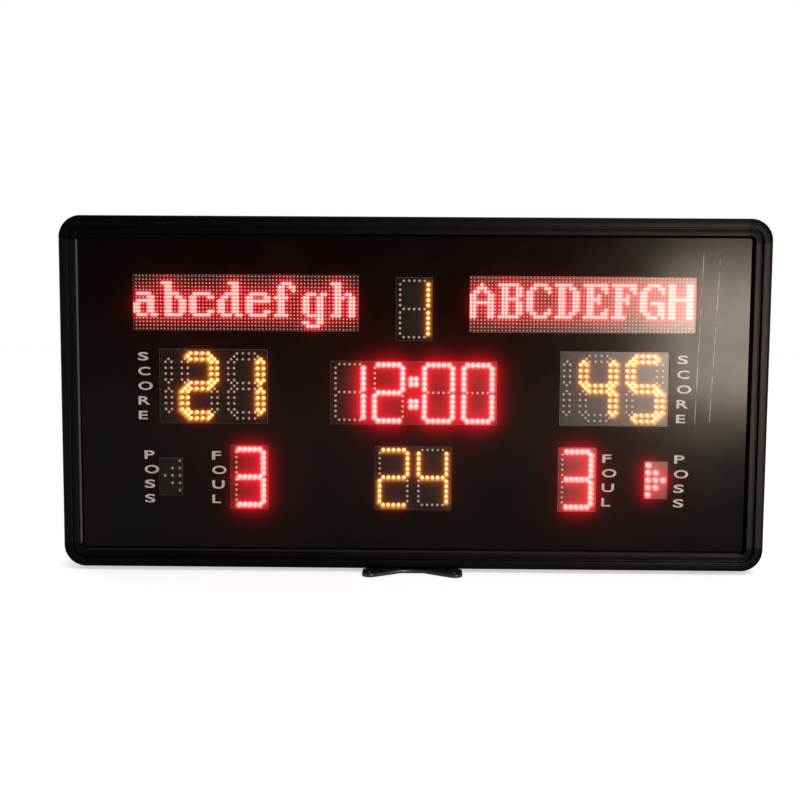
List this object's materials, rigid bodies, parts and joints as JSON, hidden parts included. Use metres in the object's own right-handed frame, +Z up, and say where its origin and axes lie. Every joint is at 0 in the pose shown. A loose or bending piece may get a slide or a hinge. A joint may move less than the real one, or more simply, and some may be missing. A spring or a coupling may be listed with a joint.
{
  "type": "electronic scoreboard",
  "caption": "Wide electronic scoreboard: ribbed black frame, dark panel with lamp windows for names, scores, clock and fouls, vented back, cross plate with pole socket.",
  "frame": {"origin": "middle of the underside of the cross plate", "axes": "+X to the right seen from the front, +Y to the back, +Z up"},
  "size_m": [1, 0.1418, 0.5053],
  "materials": {
    "anodised_frame": "satin black anodised extrusion",
    "corner_plastic": "moulded, semi-gloss",
    "panel_sheet": "semi-gloss sheet with faint scratches",
    "smoked_pane": "smoked polycarbonate",
    "led_module": "matte black module face",
    "lamp_clear": "unlit diffused lamp",
    "lamp_red": "lit red lamp",
    "lamp_amber": "lit amber lamp",
    "legend_print": "screen printed",
    "cover_coat": "fine texture powder coat",
    "zinc_steel": "zinc plated",
    "black_steel": "satin black coat",
    "black_nylon": "moulded, fine grain",
    "brass_plate": "plated brass",
    "circuit_board": "solder mask",
    "lead_sleeve": "soft sleeve"
  },
  "bodies": {
    "cabinet": {"frame_rail_top": "anodised_frame", "frame_rail_bottom": "anodised_frame", "frame_rail_left": "anodised_frame", "frame_rail_right": "anodised_frame", "corner_top_left": "corner_plastic", "corner_top_right": "corner_plastic", "corner_bottom_right": "corner_plastic", "corner_bottom_left": "corner_plastic", "front_panel": "panel_sheet", "rear_cover": "cover_coat", "cover_screw_1": "zinc_steel", "cover_screw_2": "zinc_steel", "cover_screw_3": "zinc_steel", "cover_screw_4": "zinc_steel", "cover_screw_5": "zinc_steel", "cover_screw_6": "zinc_steel", "cover_screw_7": "zinc_steel", "cover_screw_8": "zinc_steel", "power_inlet": "black_nylon", "data_socket": "zinc_steel", "antenna_socket": "brass_plate", "receiver_board": "circuit_board", "control_board": "circuit_board", "power_supply": "zinc_steel", "horn": "black_nylon", "mains_lead": "lead_sleeve", "hanger_left": "zinc_steel", "hanger_right": "zinc_steel", "team_matrix_left": "led_module", "team_matrix_left_pane": "smoked_pane", "team_matrix_right": "led_module", "team_matrix_right_pane": "smoked_pane", "score_display_left": "led_module", "score_display_left_pane": "smoked_pane", "score_display_right": "led_module", "score_display_right_pane": "smoked_pane", "foul_display_left": "led_module", "foul_display_left_pane": "smoked_pane", "foul_display_right": "led_module", "foul_display_right_pane": "smoked_pane", "possession_display_left": "led_module", "possession_display_left_pane": "smoked_pane", "possession_display_right": "led_module", "possession_display_right_pane": "smoked_pane", "period_display": "led_module", "period_display_pane": "smoked_pane", "clock_display": "led_module", "clock_display_pane": "smoked_pane", "shot_clock_display": "led_module", "shot_clock_display_pane": "smoked_pane", "stand_plate": "black_steel", "stand_bolt_left": "zinc_steel", "stand_bolt_right": "zinc_steel", "pole_socket": "black_steel", "socket_flange": "black_steel"},
    "rocker": {"power_rocker": "black_nylon"},
    "fuse_carrier": {"fuse_drawer": "black_nylon"},
    "pole_clamp": {"clamp_knob": "black_nylon"},
    "aerial_knuckle": {"antenna_knuckle": "black_nylon"},
    "aerial_whip": {"antenna_whip": "black_nylon"}
  },
  "joints": [
    {"name": "power_switch", "type": "hinge", "parent": "cabinet", "child": "rocker", "pos_m": [-0.35, 0.0394, 0.0925], "axis": [0, 0, 1], "range_deg": [0, 16]},
    {"name": "fuse_slide", "type": "slide", "parent": "cabinet", "child": "fuse_carrier", "axis": [0, 1, 0], "range_m": [0, 0.014]},
    {"name": "clamp_turn", "type": "hinge", "parent": "cabinet", "child": "pole_clamp", "pos_m": [0, 0.04, 0.0476], "axis": [0, 1, 0], "range_deg": [0, 720]},
    {"name": "aerial_swivel", "type": "hinge", "parent": "cabinet", "child": "aerial_knuckle", "pos_m": [0.33, 0.05, 0.1953], "axis": [0, 1, 0], "continuous": true},
    {"name": "aerial_tilt", "type": "hinge", "parent": "aerial_knuckle", "child": "aerial_whip", "pos_m": [0.33, 0.0626, 0.1953], "axis": [1, 0, 0], "range_deg": [-90, 0]}
  ]
}
